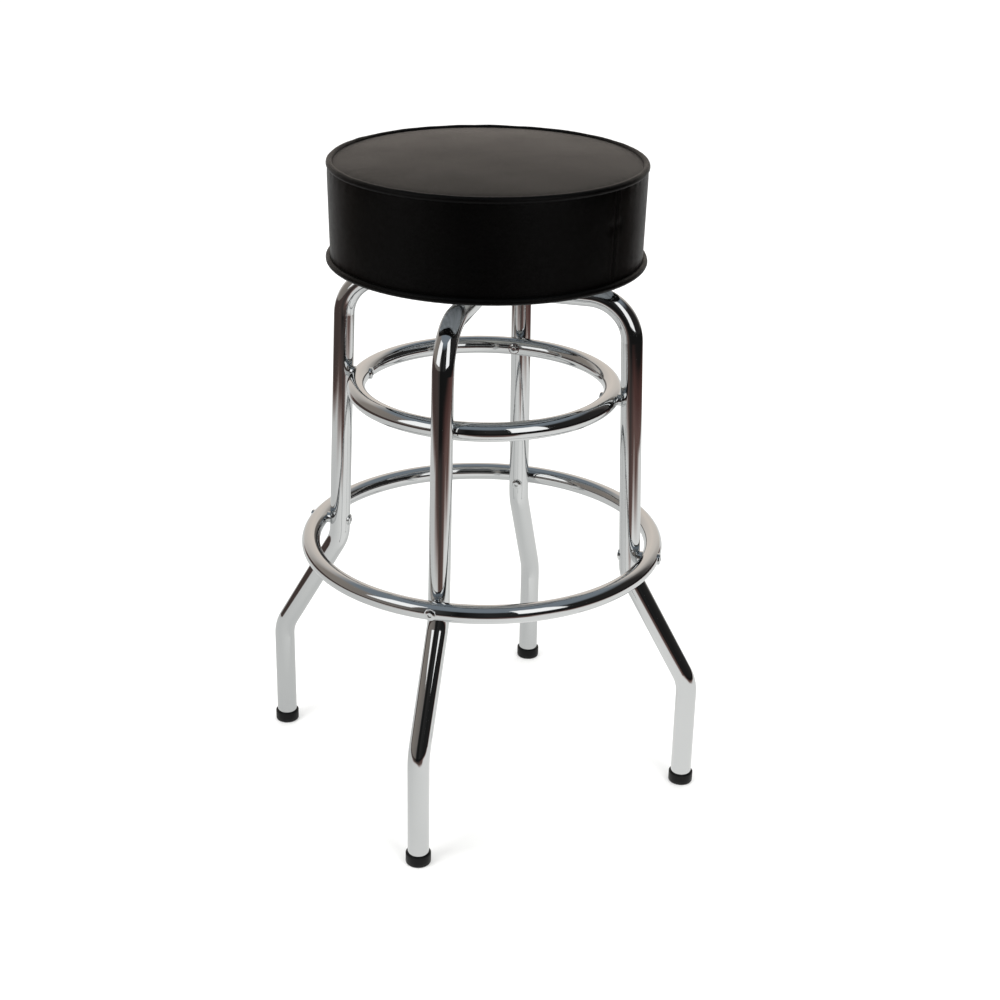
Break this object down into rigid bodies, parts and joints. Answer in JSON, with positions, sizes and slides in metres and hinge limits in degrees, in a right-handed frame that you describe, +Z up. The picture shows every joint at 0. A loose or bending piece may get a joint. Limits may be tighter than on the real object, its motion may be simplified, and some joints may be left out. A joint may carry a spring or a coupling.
{
  "type": "bar stool",
  "caption": "Round backless bar stool with a swivelling padded seat on bent tube legs, tied by an inner brace ring and an outer foot ring.",
  "frame": {"origin": "on the floor, under the swivel axis", "axes": "+Z up along the swivel axis; the legs stand on the diagonals of X and Y, and -Y is the front"},
  "size_m": [0.4451, 0.445, 0.787],
  "materials": {
    "chrome_tube": "polished",
    "black_rubber": "matte",
    "chrome_hardware": "polished",
    "zinc_steel": "satin",
    "bearing_steel": "polished",
    "cage_nylon": "matte",
    "plywood": "matte",
    "cushion_foam": "matte",
    "seat_vinyl": "satin"
  },
  "bodies": {
    "base": {"leg_front_left": "chrome_tube", "leg_front_right": "chrome_tube", "leg_back_right": "chrome_tube", "leg_back_left": "chrome_tube", "brace_ring": "chrome_tube", "foot_ring": "chrome_tube", "foot_cap_front_left": "black_rubber", "foot_cap_front_right": "black_rubber", "foot_cap_back_right": "black_rubber", "foot_cap_back_left": "black_rubber", "brace_ring_spacers": "chrome_hardware", "brace_ring_washers": "chrome_hardware", "brace_ring_bolts": "chrome_hardware", "foot_ring_spacers": "chrome_hardware", "foot_ring_washers": "chrome_hardware", "foot_ring_bolts": "chrome_hardware", "foot_ring_cap_nuts": "chrome_hardware", "brace_ring_rivet_nuts": "zinc_steel", "leg_bolts": "zinc_steel", "leg_washers": "zinc_steel", "leg_rivet_nuts": "zinc_steel", "swivel_lower_plate": "zinc_steel", "swivel_rivet": "zinc_steel"},
    "bearing": {"bearing_balls": "bearing_steel", "ball_cage": "cage_nylon"},
    "seat": {"swivel_upper_plate": "zinc_steel", "seat_board": "plywood", "seat_tee_nuts": "zinc_steel", "seat_screws": "zinc_steel", "seat_foam": "cushion_foam", "seat_top_panel": "seat_vinyl", "seat_side_band": "seat_vinyl", "upper_welt": "seat_vinyl", "lower_welt": "seat_vinyl"}
  },
  "joints": [
    {"name": "seat_swivel", "type": "hinge", "parent": "base", "child": "seat", "pos_m": [0, 0, 0.6501], "axis": [0, 0, 1], "continuous": true},
    {"name": "bearing_roll", "type": "hinge", "parent": "base", "child": "bearing", "pos_m": [0, 0, 0.6501], "axis": [0, 0, 1], "continuous": true}
  ],
  "couplings": [
    {"joint": "bearing_roll", "follows": "seat_swivel", "ratio": 0.5}
  ]
}
